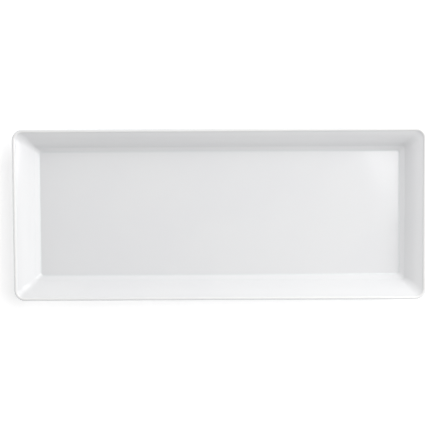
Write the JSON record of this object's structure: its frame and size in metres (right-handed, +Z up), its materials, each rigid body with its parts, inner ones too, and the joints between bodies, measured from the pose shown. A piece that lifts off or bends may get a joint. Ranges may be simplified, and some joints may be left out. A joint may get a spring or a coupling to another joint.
{
  "type": "serving platter",
  "caption": "Long rectangular white china serving platter: shallow flat well, flared mitred walls, rolled lip and a low foot ring.",
  "frame": {"origin": "on the table, under the middle of the foot ring's bearing face", "axes": "+X along the platter's length, +Y along its width, +Z up out of the well"},
  "size_m": [0.36, 0.15, 0.025],
  "materials": {
    "vitrified_clay": "matte",
    "clear_white_glaze": "gloss",
    "base_glaze": "gloss"
  },
  "bodies": {
    "root": {"china_body": "vitrified_clay", "glaze_face_and_rim": "clear_white_glaze", "glaze_base_recess": "base_glaze"}
  },
  "joints": []
}
